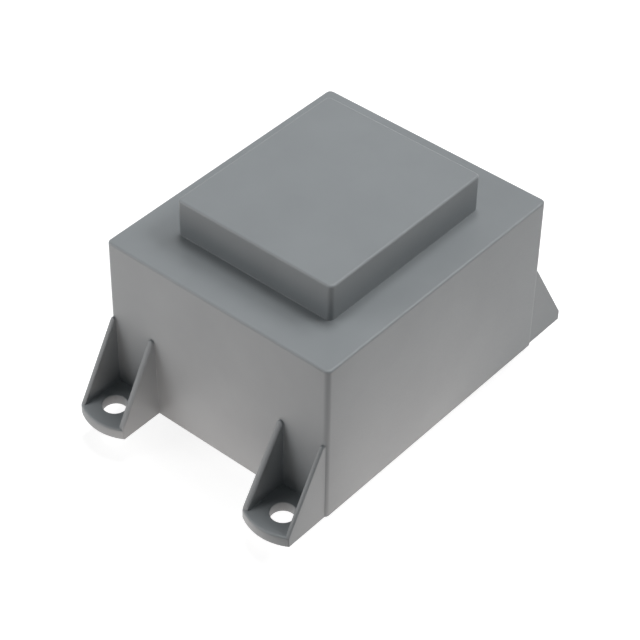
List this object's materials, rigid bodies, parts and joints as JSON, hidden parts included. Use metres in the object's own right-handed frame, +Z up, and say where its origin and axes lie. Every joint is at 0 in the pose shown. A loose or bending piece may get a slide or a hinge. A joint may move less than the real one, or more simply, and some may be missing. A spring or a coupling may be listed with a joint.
{
  "type": "pcb transformer",
  "caption": "Potted board transformer: a rectangular moulded housing with a raised centre over the coil, a ribbed screw lug at each corner, and solder pins underneath.",
  "frame": {"origin": "centre of the housing's open underside, in the plane of its rim and screw lugs, which sits on the board", "axes": "+X along the length, towards one pair of screw lugs; +Y along the coil's axis, towards the secondary pins; +Z up, away from the board"},
  "size_m": [0.0776, 0.0482, 0.0445],
  "materials": {
    "case_plastic": "satin moulded grey",
    "resin": "cast, slightly glossy dark grey",
    "bobbin_nylon": "moulded black, glass filled",
    "enamelled_copper": "enamelled copper wire",
    "tape": "yellow polyester tape",
    "core_steel": "oxide coated silicon steel",
    "tinned_pin": "bright tin",
    "solder": "satin solder"
  },
  "bodies": {
    "root": {"case_shell": "case_plastic", "potting_resin": "resin", "bobbin": "bobbin_nylon", "primary_winding": "enamelled_copper", "primary_tape": "tape", "secondary_1_winding": "enamelled_copper", "secondary_inner_tape": "tape", "secondary_2_winding": "enamelled_copper", "secondary_outer_tape": "tape", "e_laminations_1": "core_steel", "i_laminations_1": "core_steel", "e_laminations_2": "core_steel", "i_laminations_2": "core_steel", "e_laminations_3": "core_steel", "i_laminations_3": "core_steel", "e_laminations_4": "core_steel", "i_laminations_4": "core_steel", "e_laminations_5": "core_steel", "i_laminations_5": "core_steel", "e_laminations_6": "core_steel", "i_laminations_6": "core_steel", "e_laminations_7": "core_steel", "i_laminations_7": "core_steel", "e_laminations_8": "core_steel", "i_laminations_8": "core_steel", "e_laminations_9": "core_steel", "i_laminations_9": "core_steel", "e_laminations_10": "core_steel", "i_laminations_10": "core_steel", "primary_pin_1": "tinned_pin", "primary_pin_2": "tinned_pin", "secondary_pin_1": "tinned_pin", "secondary_pin_2": "tinned_pin", "secondary_pin_3": "tinned_pin", "secondary_pin_4": "tinned_pin", "primary_solder_joint_1": "solder", "primary_solder_joint_2": "solder", "secondary_solder_joint_1": "solder", "secondary_solder_joint_2": "solder", "secondary_solder_joint_3": "solder", "secondary_solder_joint_4": "solder"}
  },
  "joints": []
}
